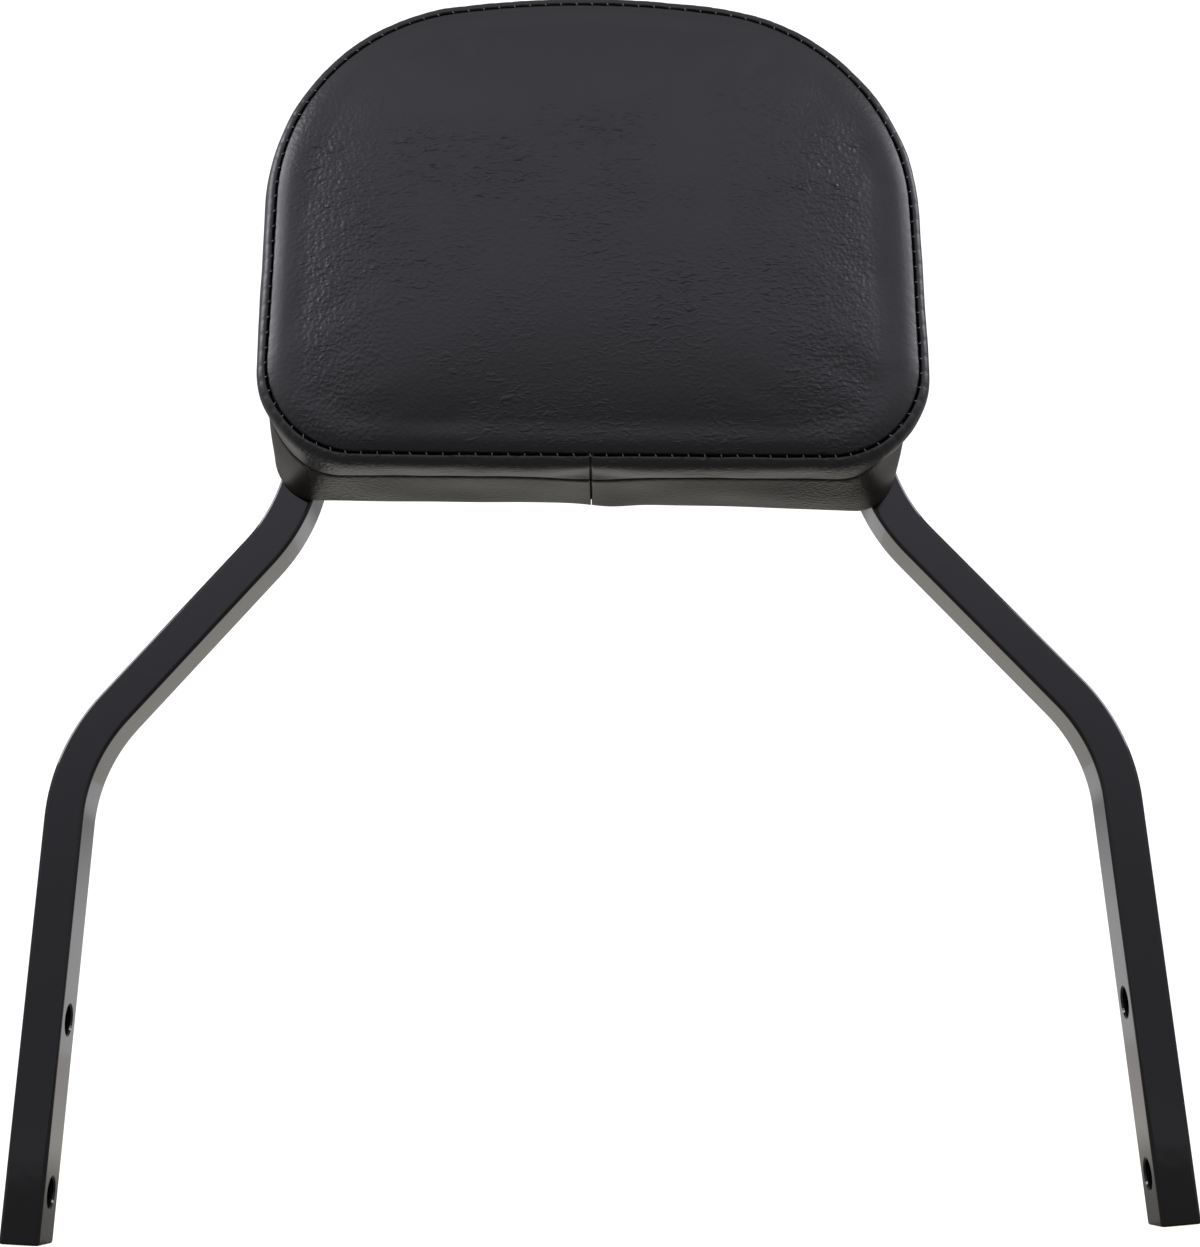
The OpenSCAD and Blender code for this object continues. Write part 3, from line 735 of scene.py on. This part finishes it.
bm = bmesh.new()
bmesh.ops.create_grid(bm, x_segments=panel_across, y_segments=panel_up, size=1)
probe = Vector((0, 1, 0))
for v in bm.verts:
    share, rho = square_to_share(v.co.x, v.co.y)
    pull = (1 - rho) ** 1.5
    edge_mm = pull * full_pull
    dimple = 0.06 * stitch_wave(share) ** 3 * math.exp(-edge_mm / 1.4)
    stray = seam_wander(share) * math.exp(-((edge_mm / 12) ** 2))
    p = drawn(share, panel_inset + dimple + stray, base_front_r, pull)
    groove = 2.4 * max(0.0, 1 - edge_mm / 0.35) ** 2
    y = front_seam_y - crown_rise(pull) + groove + dimple
    v.co = placed(Vector((p.x, y, p.y)))
    swollen = smooth_step(edge_mm, 3, 12)
    if swollen > 0:
        hit = swell.ray_cast(v.co - probe * 0.1, probe)[0]
        if hit is not None:
            v.co.y += (hit.y - v.co.y) * swollen


# Grained marine vinyl: PVC skin embossed with a pebble grain near a millimetre across,
# pulled into long shallow creases. It is stretched smooth over the top and keeps its grain
# lower down and towards the sides. The eye gets a soft sheen on near-black with fine specks.
def vinyl(name, colour, creases, shine, smooth_from, smooth_to):
    """The vinyl, with its creases' depth in mm and the heights between which it turns
    smooth."""
    # Its reflections are tinted faintly blue, a painted cool light.
    material, tree, shader, place = start_material(
        name, colour, 0.42, IOR=1.5, Specular_IOR_Level=shine, Specular_Tint=linear("#f3f2ff"),
    )
    # Where the grain and the creases show, from 0 to 1
    parts = node(tree, "ShaderNodeSeparateXYZ", {"Vector": place})
    aside = node(tree, "ShaderNodeMath", {0: parts.outputs["X"]}, operation="ABSOLUTE")
    edge = node(tree, "ShaderNodeMapRange", {
        "Value": aside.outputs[0], "From Min": 55 * MM, "From Max": 76 * MM,
        "To Min": 0.2, "To Max": 0.8,
    }, interpolation_type="SMOOTHSTEP")
    rim = node(tree, "ShaderNodeMapRange", {
        "Value": aside.outputs[0], "From Min": 84 * MM, "From Max": 96 * MM,
        "To Min": edge.outputs[0], "To Max": 0.1,
    }, interpolation_type="SMOOTHSTEP")
    below = node(tree, "ShaderNodeMapRange", {
        "Value": parts.outputs["Z"], "From Min": smooth_from, "From Max": smooth_to,
        "To Min": 1.0, "To Max": 0.12,
    }, interpolation_type="SMOOTHSTEP")
    patchy = node(tree, "ShaderNodeTexNoise", {
        "Vector": place, "Scale": 1 / (24 * MM), "Detail": 1.0,
    })
    patch = node(tree, "ShaderNodeMapRange", {
        "Value": patchy.outputs["Fac"], "From Min": 0.3, "From Max": 0.66,
    })
    some = node(tree, "ShaderNodeMapRange", {
        "Value": aside.outputs[0], "From Min": 84 * MM, "From Max": 95 * MM,
        "To Min": patch.outputs[0], "To Max": 0.0,
    })
    grainy = node(tree, "ShaderNodeMath", {
        0: rim.outputs[0], 1: below.outputs[0],
    }, operation="MULTIPLY")
    worn = node(tree, "ShaderNodeMath", {
        0: some.outputs[0], 1: below.outputs[0],
    }, operation="MULTIPLY")
    # The pebble grain, the fine ripples across it and the longer folds
    pebble = node(tree, "ShaderNodeTexVoronoi", {
        "Vector": place, "Scale": 1 / (1.2 * MM),
    }, feature="SMOOTH_F1")
    grain = node(tree, "ShaderNodeMath", {
        0: pebble.outputs["Distance"], 1: grainy.outputs[0],
    }, operation="MULTIPLY")
    wide = node(tree, "ShaderNodeMapping", {
        "Vector": place, "Scale": (0.4, 1.0, 1.0), "Rotation": (0, 0.1, 0),
    })
    fine = node(tree, "ShaderNodeTexNoise", {
        "Vector": wide.outputs[0], "Scale": 1 / (1.5 * MM), "Detail": 2.0, "Distortion": 0.9,
    }, noise_type="RIDGED_MULTIFRACTAL", normalize=True)
    ripples = node(tree, "ShaderNodeMath", {
        0: fine.outputs["Fac"], 1: worn.outputs[0],
    }, operation="MULTIPLY")
    drift = node(tree, "ShaderNodeTexNoise", {
        "Vector": wide.outputs[0], "Scale": 1 / (8 * MM), "Detail": 3.0, "Distortion": 1.6,
    }, noise_type="RIDGED_MULTIFRACTAL", normalize=True)
    thin = node(tree, "ShaderNodeMapRange", {
        "Value": drift.outputs["Fac"], "From Min": 0.62, "From Max": 0.95,
    })
    folds = node(tree, "ShaderNodeMath", {
        0: thin.outputs[0], 1: worn.outputs[0],
    }, operation="MULTIPLY")
    grained = raise_surface(tree, shader, grain.outputs[0], 0.4 * MM)
    rippled = raise_surface(tree, shader, ripples.outputs[0], creases * MM, under=grained)
    raise_surface(tree, shader, folds.outputs[0], creases * 1.3 * MM, under=rippled)
    uneven = node(tree, "ShaderNodeMapRange", {
        "Value": patchy.outputs["Fac"], "To Min": 0.36, "To Max": 0.5,
    })
    tree.links.new(uneven.outputs[0], shader.inputs["Roughness"])
    return material


front_vinyl = vinyl("grained_black_vinyl", "#141417", 0.44, 0.44, 338 * MM, 372 * MM)


def face_outwards(bm, point_in):
    """Turn an open sheet's faces away from a point inside the pad."""
    bmesh.ops.recalc_face_normals(bm, faces=bm.faces)
    outward = sum(
        (f.calc_center_median() - point_in).dot(f.normal) * f.calc_area() for f in bm.faces
    )
    if outward < 0:
        bmesh.ops.reverse_faces(bm, faces=bm.faces)


def make_sheet(name, bm, material, cad_node):
    """A sheet of cover. Its outside stays where it is, and its wall grows inwards."""
    face_outwards(bm, placed(Vector((0, -boxing_depth / 2, pad_middle.y))))
    piece = object_from(name, bm)
    finish_piece(piece, material, [cad_node])
    wall = piece.modifiers.new("wall", "SOLIDIFY")
    wall.thickness, wall.offset, wall.use_even_offset = 1.0 * MM, -1.0, False


make_sheet("padded_front", bm, front_vinyl, "front_panel")

# Edge band
# A strip of the same vinyl rolled round the pad's edge between two seams. Its seam
# allowance makes a firm lip along the front stitches, and its ends meet at the bottom.
outline_length = 2 * sum(part[0] for part in half_outline(base_rear_r))
seam_at = -1.0 / outline_length
columns_a_stitch = 8
# How far each end of a strip turns in at its own seam: share round the outline, then mm
turned_ends = ((0.0, 2.6), (0.0001, 1.0), (0.0003, 0.36), (0.0006, 0.12), (0.0011, 0.02))


def seam_share(y):
    """Where the strips' own seam lies on the outline, so that it runs straight back."""
    return seam_at + cover_shift * (1 - front_share(y)) / outline_length


def strip_columns():
    """Shares round the outline for a strip's columns, with how far each turns in."""
    count = stitches * columns_a_stitch
    first = [(share + 0.0002, depth) for share, depth in turned_ends]
    last = [(1 - share, depth) for share, depth in reversed(first)]
    return first + [(k / count, 0.0) for k in range(2, count - 1)] + last


def make_strip(rows, place_point):
    """A strip of cover laid along the outline. place_point gives each point in mm."""
    columns = strip_columns()
    bm = bmesh.new()
    bmesh.ops.create_grid(bm, x_segments=len(columns) - 1, y_segments=len(rows) - 1, size=1)
    for v in bm.verts:
        share, turn_in = columns[round((v.co.x + 1) / 2 * (len(columns) - 1))]
        row = rows[round((v.co.y + 1) / 2 * (len(rows) - 1))]
        v.co = placed(place_point(share, turn_in, row))
    return bm


# Rows of the band from its front lip to its rear seam: how far behind the front seam, and
# how far inside the outline
band_rows = [
    (2.6, 2.75), (1.0, 2.68), (0.1, 2.5), (-0.3, 2.25), (-0.42, 1.95), (-0.4, 1.65),
    (-0.28, 1.3), (-0.05, 0.9), (0.3, 0.5), (0.8, 0.12), (1.5, -0.2), (2.5, -0.5),
    (3.8, -0.75), (5.6, -0.9), (8.0, -0.92), (10.8, -0.8), (13.4, -0.55), (15.8, -0.2),
    (17.3, 0.1), (18.0, 0.35), (18.3, 0.75), (18.4, 1.6),
]


def near_seam(share, width):
    """1 at the strips' bottom seam, falling to 0 over a width in mm along the bottom."""
    away = min(share % 1.0, 1 - share % 1.0) * outline_length
    return math.exp(-((away / width) ** 2))


def band_point(share, turn_in, row):
    """A point of the band, whose roll is pinched in at the bottom seam and full beside it."""
    depth, inset = row
    y = front_seam_y + depth
    across = min(1.0, max(0.0, depth / band_depth))
    lip = math.exp(-(((depth - 0.2) / 1.6) ** 2))
    scallop = 0.04 * stitch_wave(share) * lip
    pinch = 0.9 * near_seam(share, 9) * math.sin(math.pi * across)
    dip = 1.2 * near_seam(share, 16) * max(0.0, (depth - 15) / 3.6)
    roll = 0.25 * noise.noise(Vector((share * 60, depth * 0.08, 3.1)))
    roll += 0.75 * near_seam(share, 68) * math.sin(math.pi * across ** 0.55)
    share += seam_share(y)
    stray = seam_wander(share) * math.exp(-((max(0, depth) / 5) ** 2))
    inset += scallop + turn_in + pinch + stray - roll - dip
    p = around(share, inset, corner_r_at(y))
    return Vector((p.x, y + 0.16 * stitch_wave(share) ** 6 * lip, p.y))


bm = make_strip(band_rows, band_point)
make_sheet("rolled_band", bm, front_vinyl, "edge_band")

# Boxing
# The side of the cover is one long strip, closed by a seam at the bottom. It wraps the
# board's rear edge and is stapled down behind as a gathered hem.
hem_w = 29.0
# Rows of the boxing from the hem's edge to the front: depth, how far inside the outline,
# and whether it lies on the board's back
boxing_rows = [
    (-0.6, hem_w, True), (-0.45, 24, True), (-0.25, 20, True), (0.0, 15, True),
    (0.0, 10, True), (0.0, 6, True), (0.0, 3.2, True), (-0.05, 1.7, False),
    (-0.35, 0.8, False), (-0.9, 0.25, False), (-1.8, 0.0, False), (-3.5, 0.0, False),
    *[(-6 - 3.2 * k, 0.0, False) for k in range(8)],
    (-29.9, 0.0, False), (-30.9, 0.1, False), (-31.4, 0.35, False), (-31.7, 0.8, False),
    (-31.9, 1.6, False),
]


def hem_point(share, turn_in, y, inset):
    """A point of the gathered hem."""
    p = drawn(share + seam_share(y), turn_in * 0.2, base_rear_r, inset / (pad_base_w / 2))
    gather = 0.35 + 0.35 * math.sin(share * 210) * noise.noise(Vector((share * 30, 1.7, 0)))
    return Vector((p.x, y - gather * inset / hem_w, p.y))


def boxing_point(share, turn_in, row):
    """A point of the boxing, which sags between its edges and bulges beside its seam."""
    y, inset, hem = row
    if hem:
        return hem_point(share, turn_in, y, inset)
    along = -y / boxing_depth
    slack = noise.noise(Vector((share * 26, along * 1.3, 7.7)))
    sag = 0.55 * slack * math.sin(math.pi * min(1.0, along + 0.15))
    from_seam = ((share + 0.5) % 1.0 - 0.5) * outline_length
    bulge = 1.15 * math.exp(-((from_seam - 6) / 9) ** 2) * (1 - along)
    dip = 1.2 * near_seam(share, 16) * along ** 3
    tick = 0.1 * stitch_wave(share) * math.exp(-(((y + 30.6) / 1.2) ** 2))
    turn_in *= 1 - 0.97 * smooth_step(y, -12, -3)
    inset += turn_in + tick - sag - bulge - dip
    p = around(share + seam_share(y), inset, corner_r_at(y))
    return Vector((p.x, y, p.y))


bm = make_strip(boxing_rows, boxing_point)
side_vinyl = vinyl("grained_black_vinyl_side", "#1e1d19", 0.05, 0.2, 325 * MM, 375 * MM)
make_sheet("boxing", bm, side_vinyl, "boxing_strip")

# Stitches
# Bonded black polyester thread, under half a millimetre thick, ties the panel to the
# band. It crosses the groove every 4.6 millimetres and nips the band's lip.

# Bonded polyester thread: twisted and waxed. The black thread is given a mid grey colour as a painted
# sheen, so the eye gets small grey glints in the dark seam.
thread_with_painted_sheen, tree, shader, place = start_material("bonded_polyester_thread_painted_sheen", "#545456", 0.4)
twist = node(tree, "ShaderNodeTexNoise", {"Vector": place, "Scale": 1 / (0.25 * MM)})
raise_surface(tree, shader, twist.outputs["Fac"], 0.03 * MM)


def sew(name, inset, y, length, thick, lift, lean):
    """A row of stitches, each a small capsule that bows out of the seam. Its ends lie
    across the seam, turned by lean towards the way the seam runs."""
    bm = bmesh.new()
    for k in range(stitches):
        share = k / stitches + seam_at
        stray = noise.noise(Vector((k * 0.7, 0.3, 5.1)))
        made = bmesh.ops.create_icosphere(bm, subdivisions=1, radius=thick / 2)["verts"]
        seam_inset = inset + seam_wander(share)
        here = around(share, seam_inset, corner_r_at(y))
        ahead = around(share + 0.001, seam_inset, corner_r_at(y))
        along = (ahead - here).normalized()
        outward = Vector((along.y, -along.x))
        turn = lean + 0.5 * stray
        reach = outward * math.cos(turn) + along * math.sin(turn)
        cross = along * math.cos(turn) - outward * math.sin(turn)
        for v in made:
            s = v.co.x / (thick / 2)
            flat = here + reach * s * length / 2 * (1 + 0.3 * stray) + cross * v.co.z
            bow = lift * (1 - s * s) - 0.35 * s
            v.co = placed(Vector((flat.x, y + v.co.y - bow, flat.y)))
    make_piece(name, bm, thread_with_painted_sheen, "vinyl", sharp=60)


sew(
    "front_seam_stitches", inset=2.45, y=front_seam_y - 0.25, length=1.5, thick=0.42,
    lift=0.25, lean=0.35,
)

# Back cloth
# Thin black non-woven cloth closes the back inside the hem. It is stapled over the hem's
# raw edge and pierced where the bolts pass.

# Non-woven polypropylene: pressed fibres with a fine dimpled pattern. The eye gets dull
# charcoal with a faint fuzz.
cloth_finish, tree, shader, place = start_material("non_woven_cloth", "#242426", 0.9)
fibres = node(tree, "ShaderNodeTexNoise", {
    "Vector": place, "Scale": 1 / (0.7 * MM), "Detail": 5.0,
})
dimples = node(tree, "ShaderNodeTexVoronoi", {"Vector": place, "Scale": 1 / (1.5 * MM)})
under = raise_surface(tree, shader, fibres.outputs["Fac"], 0.15 * MM)
raise_surface(tree, shader, dimples.outputs["Distance"], 0.1 * MM, under=under)
cloth_t, cloth_lap = 0.35 * MM, 3.0 * MM
cloth_low, cloth_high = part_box("back_cloth")
cloth_mid = (cloth_low + cloth_high) / 2


def thinned(co):
    """A point of the CAD cloth moved to a thinner one that laps over the hem."""
    x, z = co.x, co.z - cloth_mid.z
    edge = max(abs(x) / cloth_high.x, abs(z) / (cloth_high.z - cloth_mid.z))
    if edge > 0.85:
        x *= 1 + cloth_lap / cloth_high.x
        z *= 1 + cloth_lap / cloth_high.x
    y = cloth_high.y - (cloth_high.y - co.y) / (cloth_high.y - cloth_low.y) * cloth_t
    return Vector((x, y, cloth_mid.z + z))


cloth = softened_copy(
    "back_cloth_sheet", "back_cloth", cloth_finish, "back_cloth", 0.05 * MM, segments=1,
    move=thinned,
)

# Staples
# Galvanised wire staples, eleven millimetres across the crown, are shot through the cloth
# and the hem into the board. None are needed where the plate and the bar press on it.
staple_bm = bmesh.new()
staple_places, staple_inset = 24, 23.5
crown_w, wire, wire_t = 11 * MM, 0.7 * MM, 0.55 * MM
plate_clear, hoop_clear = 6 * MM, 36 * MM
last = None
for k in range(staple_places):
    share = (k + 0.5) / staple_places
    here, ahead = around(share, staple_inset) * MM, around(share + 0.002, staple_inset) * MM
    under_plate = plate_low.z - plate_clear < here.y < plate_high.z + plate_clear
    crowded = last is not None and (here - last).length < 1.5 * crown_w
    if under_plate or here.y > bar_high.z - hoop_clear or crowded:
        continue
    last = here
    made = bmesh.ops.create_cube(staple_bm, size=1)["verts"]
    bmesh.ops.scale(staple_bm, verts=made, vec=(crown_w, wire, wire_t))
    edges = {e for v in made for e in v.link_edges}
    made = bmesh.ops.bevel(
        staple_bm, geom=list(edges), affect="EDGES", offset=0.2 * MM, offset_type="OFFSET",
        segments=2, profile=0.5, material=-1,
    )["verts"]
    bmesh.ops.rotate(staple_bm, verts=made, matrix=Matrix.Rotation(math.pi / 2, 3, "X"))
    along = ahead - here
    tilt = Matrix.Rotation(-math.atan2(along.y, along.x), 3, "Y")
    bmesh.ops.rotate(staple_bm, verts=made, matrix=tilt)
    bmesh.ops.translate(staple_bm, verts=made, vec=(here.x, cloth_high.y + 0.1 * MM, here.y))
make_piece("staples", staple_bm, zinc, "fixings", sharp=40)

# Fixings
# Four hexagon bolts, each with a split washer and a flat washer, black zinc plated. They
# pass the plate from behind and pull the pad's tee nuts against it.

# Black zinc plate on steel: a dark metal with a faint satin from the plating bath. The
# eye gets near-black edges with soft grey highlights.
black_zinc, tree, shader, place = start_material("black_zinc_plate", "#2c2c2f", 0.34, Metallic=1.0)
bath = node(tree, "ShaderNodeTexNoise", {
    "Vector": place, "Scale": 1 / (0.6 * MM), "Detail": 2.0,
})
raise_surface(tree, shader, bath.outputs["Fac"], 0.01 * MM)
for i in range(1, 5):
    softened_copy(f"hex_bolt_{i}", f"pad_bolt_{i}", black_zinc, "fixings", 0.25 * MM)
    for washer, cad_node in ((f"split_washer_{i}", "lock"), (f"plain_washer_{i}", "flat")):
        softened_copy(
            washer, f"{cad_node}_washer_{i}", black_zinc, "fixings", 0.15 * MM, segments=1,
        )

# Studio
# A plain pale floor in a plain room, brightest low behind the part, where a white sheet
# hangs, and high in front. Two soft boxes stand high at the sides.
scene = bpy.context.scene
scene.view_settings.view_transform = "Standard"
lens_white = 1.2


def seen_by_lens(tree):
    """1 where the lens looks straight at a surface, which the exposure burns to white."""
    return node(tree, "ShaderNodeLightPath").outputs["Is Camera Ray"]


bm = bmesh.new()
bmesh.ops.create_grid(bm, x_segments=2, y_segments=2, size=12)
floor = object_from("floor", bm)
# Pale matt floor paint that also glows, as painted light: to the lens it glows white, and to
# everything else it glows before and behind the part but not under it, so the bar's inner sides show a
# soft fall from light to dark.
paint, tree, shader, place = start_material("pale_floor_paint_and_painted_glow", "#85837d", 0.9)
shader.inputs["Emission Color"].default_value = linear("#fffaf2")
away = node(tree, "ShaderNodeSeparateXYZ", {"Vector": place})
# Painted glow before the part: none within half a metre, rising to 0.45 a metre further out
before = node(tree, "ShaderNodeMapRange", {
    "Value": away.outputs["Y"], "From Min": -0.5, "From Max": -1.5, "To Min": 0.0, "To Max": 0.45,
}, interpolation_type="SMOOTHSTEP")
# Painted glow behind the part: rising from that to 0.62 between 0.1 and 0.8 metres behind
behind = node(tree, "ShaderNodeMapRange", {
    "Value": away.outputs["Y"], "From Min": 0.1, "From Max": 0.8,
    "To Min": before.outputs[0], "To Max": 0.62,
}, interpolation_type="SMOOTHSTEP")
# The lens sees the floor glow white; everything else sees the painted glow
lens_white_and_painted_glow = node(tree, "ShaderNodeMix", {0: seen_by_lens(tree), 2: behind.outputs[0], 3: 1.0})
tree.links.new(lens_white_and_painted_glow.outputs[0], shader.inputs["Emission Strength"])
floor.data.materials.append(paint)

world = bpy.data.worlds.new("white_studio")
scene.world = world
world.use_nodes = True
tree = world.node_tree
sky = tree.nodes["Background"]
toward = node(tree, "ShaderNodeTexCoord").outputs["Generated"]
parts = node(tree, "ShaderNodeSeparateXYZ", {"Vector": toward})
front = node(tree, "ShaderNodeMapRange", {
    "Value": parts.outputs["Z"], "From Min": 0.03, "From Max": 0.4, "To Min": 0.62, "To Max": 1.42,
}, interpolation_type="SMOOTHSTEP")
above = node(tree, "ShaderNodeMapRange", {
    "Value": parts.outputs["Z"], "From Min": 0.5, "From Max": 0.85,
    "To Min": front.outputs[0], "To Max": 0.9,
}, interpolation_type="SMOOTHSTEP")
flanks = node(tree, "ShaderNodeMapRange", {
    "Value": parts.outputs["Y"], "From Min": -0.5, "From Max": 0.1,
    "To Min": above.outputs[0], "To Max": 0.36,
}, interpolation_type="SMOOTHSTEP")
fade = node(tree, "ShaderNodeMapRange", {
    "Value": parts.outputs["Z"], "From Min": 0.04, "From Max": 0.12, "To Min": 0.95, "To Max": 0.45,
}, interpolation_type="SMOOTHSTEP")
sheet = node(tree, "ShaderNodeMapRange", {
    "Value": parts.outputs["Y"], "From Min": 0.86, "From Max": 0.94,
    "To Min": flanks.outputs[0], "To Max": fade.outputs[0],
}, interpolation_type="SMOOTHSTEP")
walls = node(tree, "ShaderNodeMix", {0: seen_by_lens(tree), 2: sheet.outputs[0], 3: lens_white})
tree.links.new(walls.outputs[0], sky.inputs["Strength"])
sky.inputs["Color"].default_value = linear("#fffeff")


def softbox(name, x, power):
    """A soft box at one side of the part, turned to its middle."""
    data = bpy.data.lights.new(name, "AREA")
    data.shape, data.size, data.size_y, data.energy = "RECTANGLE", 1.1, 0.65, power
    light = bpy.data.objects.new(name, data)
    light.location = (x, -0.1, 1.08)
    aim = Vector((0, 0, 0.25)) - light.location
    light.rotation_euler = aim.to_track_quat("-Z", "Y").to_euler()
    scene.collection.objects.link(light)


softbox("left_high", -1.5, 19)
softbox("right_high", 1.5, 16)

# Camera
# It stands low in front of the legs and looks up at the pad, as the photograph does.
film, photo_height, focal_length = 36, 1247, 2249.5
camera_data = bpy.data.cameras.new("camera")
camera_data.lens = film * focal_length / photo_height
camera_data.clip_start = 0.02
camera = bpy.data.objects.new("camera", camera_data)
scene.collection.objects.link(camera)
eye = Vector((2.53, -703.5, 37.64)) * MM
tilt, pan, roll = 0.2143, 0.0008, -0.0168
camera.matrix_world = (
    Matrix.Translation(eye)
    @ Matrix.Rotation(-pan, 4, "Z")
    @ Matrix.Rotation(math.pi / 2 + tilt, 4, "X")
    @ Matrix.Rotation(roll, 4, "Z")
)
scene.camera = camera
